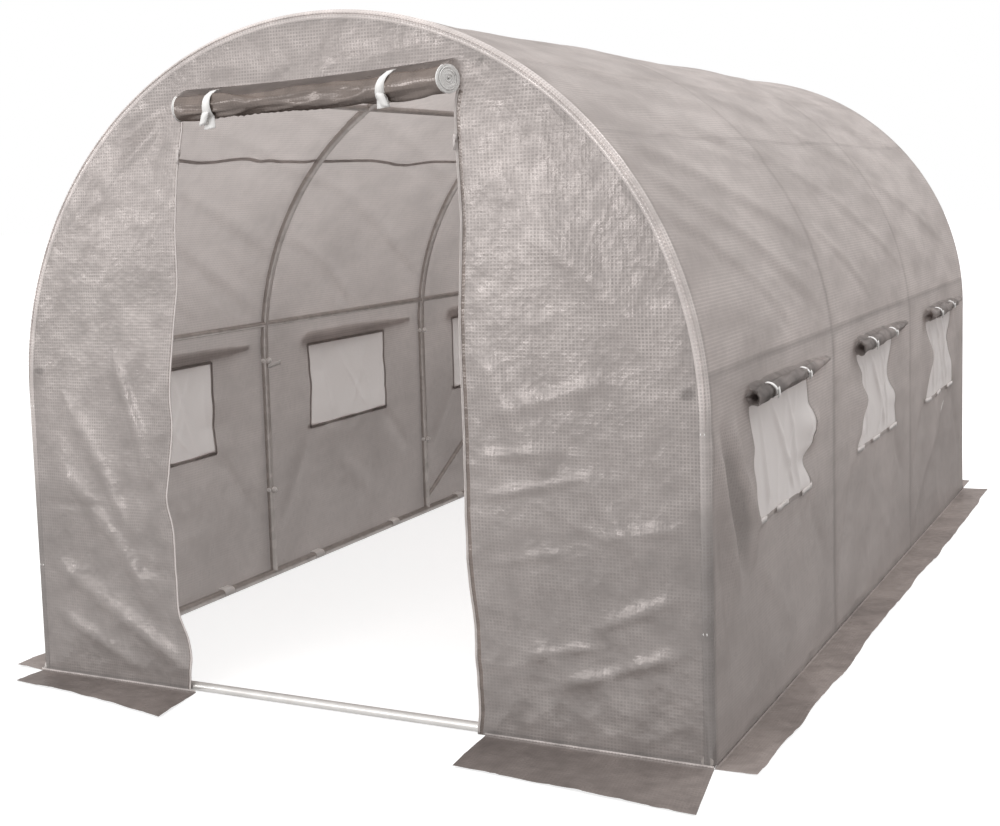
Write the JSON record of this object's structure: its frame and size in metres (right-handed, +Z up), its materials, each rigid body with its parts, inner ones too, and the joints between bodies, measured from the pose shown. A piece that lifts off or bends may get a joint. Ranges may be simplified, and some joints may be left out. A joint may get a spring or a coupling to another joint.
{
  "type": "walk-in tunnel greenhouse",
  "caption": "Walk-in tunnel greenhouse: round-topped steel tube frame under a translucent woven film cover with a rolled-up door, net windows and ground skirts.",
  "frame": {"origin": "middle of the ground plan, at ground level", "axes": "+Z up, -Y towards the door, +X to the right seen from the front"},
  "size_m": [2.24, 3.98, 1.8],
  "materials": {
    "steel_tube": "galvanised",
    "woven_film": "woven film with a fine grid",
    "window_net": "fine net",
    "white_tape": "woven tape",
    "white_plastic": "moulded"
  },
  "bodies": {
    "root": {"back_brace_left": "steel_tube", "back_brace_right": "steel_tube", "back_panel": "woven_film", "back_sill": "steel_tube", "base_clips_left": "white_plastic", "base_clips_right": "white_plastic", "base_rail_left": "steel_tube", "base_rail_right": "steel_tube", "cover_haunch_left": "woven_film", "cover_haunch_right": "woven_film", "cover_roof": "woven_film", "door_roll": "woven_film", "door_ties": "white_tape", "door_zip_left": "white_plastic", "door_zip_right": "white_plastic", "front_panel_left": "woven_film", "front_panel_right": "woven_film", "front_panel_top": "woven_film", "front_sill": "steel_tube", "hoop_couplers_left": "steel_tube", "hoop_couplers_right": "steel_tube", "hoop_crowns": "steel_tube", "hoop_haunches_left": "steel_tube", "hoop_haunches_right": "steel_tube", "hoop_legs_left": "steel_tube", "hoop_legs_right": "steel_tube", "side_rails_left": "steel_tube", "side_rails_right": "steel_tube", "side_wall_left": "woven_film", "side_wall_right": "woven_film", "skirt_back": "woven_film", "skirt_front_left": "woven_film", "skirt_front_right": "woven_film", "skirt_left": "woven_film", "skirt_right": "woven_film", "upper_purlins_left": "steel_tube", "upper_purlins_right": "steel_tube", "window_nets_left": "window_net", "window_nets_right": "window_net", "window_rolls_left": "woven_film", "window_rolls_right": "woven_film", "window_ties_left": "white_tape", "window_ties_right": "white_tape"}
  },
  "joints": []
}
